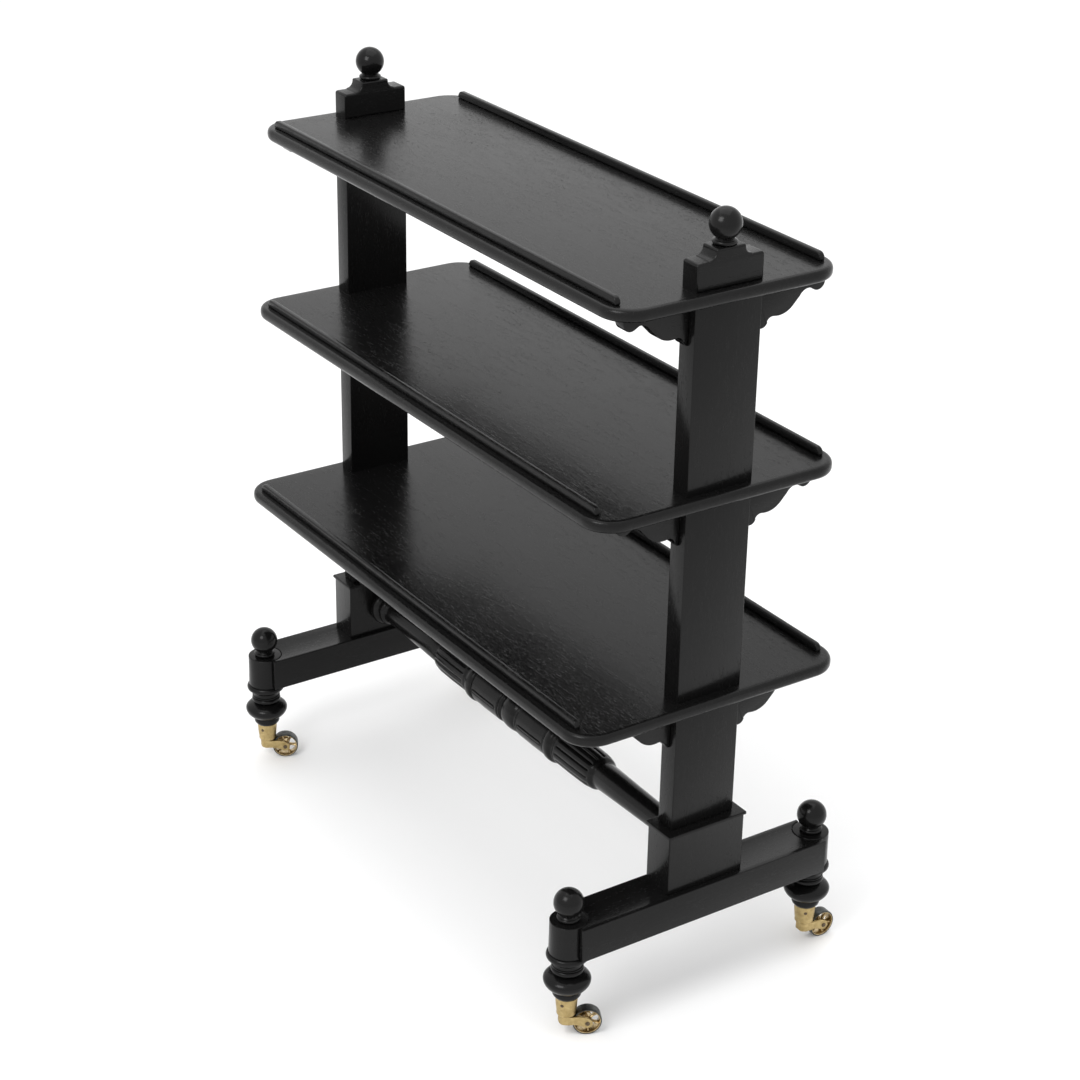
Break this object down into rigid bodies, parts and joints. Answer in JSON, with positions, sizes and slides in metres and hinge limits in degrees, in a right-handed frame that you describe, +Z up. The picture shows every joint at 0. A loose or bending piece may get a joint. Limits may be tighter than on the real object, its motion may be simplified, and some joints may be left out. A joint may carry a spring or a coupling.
{
  "type": "bar cart",
  "caption": "Ebonised wooden bar cart with shelves between two end standards, scalloped brackets, ball finials, a turned stretcher and swivelling brass castors.",
  "frame": {"origin": "on the floor, at the middle of the cart's bounding box", "axes": "+X along the shelves, +Y towards the back, +Z up"},
  "size_m": [0.863, 0.4563, 1.0507],
  "materials": {
    "ebonised_wood": "black lacquer, satin gloss, with fine open grain",
    "aged_brass": "aged, satin",
    "axle_steel": "dull, darkened"
  },
  "bodies": {
    "root": {"bracket_bottom_left_back": "ebonised_wood", "bracket_bottom_left_front": "ebonised_wood", "bracket_bottom_right_back": "ebonised_wood", "bracket_bottom_right_front": "ebonised_wood", "bracket_middle_left_back": "ebonised_wood", "bracket_middle_left_front": "ebonised_wood", "bracket_middle_right_back": "ebonised_wood", "bracket_middle_right_front": "ebonised_wood", "bracket_top_left_back": "ebonised_wood", "bracket_top_left_front": "ebonised_wood", "bracket_top_right_back": "ebonised_wood", "bracket_top_right_front": "ebonised_wood", "castor_cup_back_left": "aged_brass", "castor_cup_back_right": "aged_brass", "castor_cup_front_left": "aged_brass", "castor_cup_front_right": "aged_brass", "crest_left": "ebonised_wood", "crest_right": "ebonised_wood", "foot_bar_left": "ebonised_wood", "foot_bar_right": "ebonised_wood", "foot_finial_back_left": "ebonised_wood", "foot_finial_back_right": "ebonised_wood", "foot_finial_front_left": "ebonised_wood", "foot_finial_front_right": "ebonised_wood", "leg_back_left": "ebonised_wood", "leg_back_right": "ebonised_wood", "leg_front_left": "ebonised_wood", "leg_front_right": "ebonised_wood", "plinth_left": "ebonised_wood", "plinth_right": "ebonised_wood", "post_lower_left": "ebonised_wood", "post_lower_right": "ebonised_wood", "post_middle_left": "ebonised_wood", "post_middle_right": "ebonised_wood", "post_upper_left": "ebonised_wood", "post_upper_right": "ebonised_wood", "rail_bottom_back": "ebonised_wood", "rail_bottom_front": "ebonised_wood", "rail_middle_back": "ebonised_wood", "rail_middle_front": "ebonised_wood", "rail_top_back": "ebonised_wood", "rail_top_front": "ebonised_wood", "shelf_bottom": "ebonised_wood", "shelf_middle": "ebonised_wood", "shelf_top": "ebonised_wood", "stretcher": "ebonised_wood", "top_finial_left": "ebonised_wood", "top_finial_right": "ebonised_wood"},
    "swivel_front_right": {"castor_horn_front_right": "aged_brass", "castor_axle_front_right": "axle_steel"},
    "wheel_front_right": {"castor_wheel_front_right": "aged_brass"},
    "swivel_back_right": {"castor_horn_back_right": "aged_brass", "castor_axle_back_right": "axle_steel"},
    "wheel_back_right": {"castor_wheel_back_right": "aged_brass"},
    "swivel_front_left": {"castor_horn_front_left": "aged_brass", "castor_axle_front_left": "axle_steel"},
    "wheel_front_left": {"castor_wheel_front_left": "aged_brass"},
    "swivel_back_left": {"castor_horn_back_left": "aged_brass", "castor_axle_back_left": "axle_steel"},
    "wheel_back_left": {"castor_wheel_back_left": "aged_brass"}
  },
  "joints": [
    {"name": "front_right_swivel", "type": "hinge", "parent": "root", "child": "swivel_front_right", "pos_m": [0.399, -0.19786, 0.0225], "axis": [0, 0, 1], "continuous": true},
    {"name": "front_right_roll", "type": "hinge", "parent": "swivel_front_right", "child": "wheel_front_right", "pos_m": [0.4108, -0.1747, 0.0188], "axis": [-0.891, 0.454, 0], "continuous": true},
    {"name": "back_right_swivel", "type": "hinge", "parent": "root", "child": "swivel_back_right", "pos_m": [0.399, 0.18314, 0.0225], "axis": [0, 0, 1], "continuous": true},
    {"name": "back_right_roll", "type": "hinge", "parent": "swivel_back_right", "child": "wheel_back_right", "pos_m": [0.39991, 0.20912, 0.0188], "axis": [-0.9994, 0.0349, 0], "continuous": true},
    {"name": "front_left_swivel", "type": "hinge", "parent": "root", "child": "swivel_front_left", "pos_m": [-0.399, -0.19786, 0.0225], "axis": [0, 0, 1], "continuous": true},
    {"name": "front_left_roll", "type": "hinge", "parent": "swivel_front_left", "child": "wheel_front_left", "pos_m": [-0.38639, -0.17512, 0.0188], "axis": [-0.8746, 0.4848, 0], "continuous": true},
    {"name": "back_left_swivel", "type": "hinge", "parent": "root", "child": "swivel_back_left", "pos_m": [-0.399, 0.18314, 0.0225], "axis": [0, 0, 1], "continuous": true},
    {"name": "back_left_roll", "type": "hinge", "parent": "swivel_back_left", "child": "wheel_back_left", "pos_m": [-0.38926, 0.20724, 0.0188], "axis": [-0.9272, 0.3746, 0], "continuous": true}
  ]
}
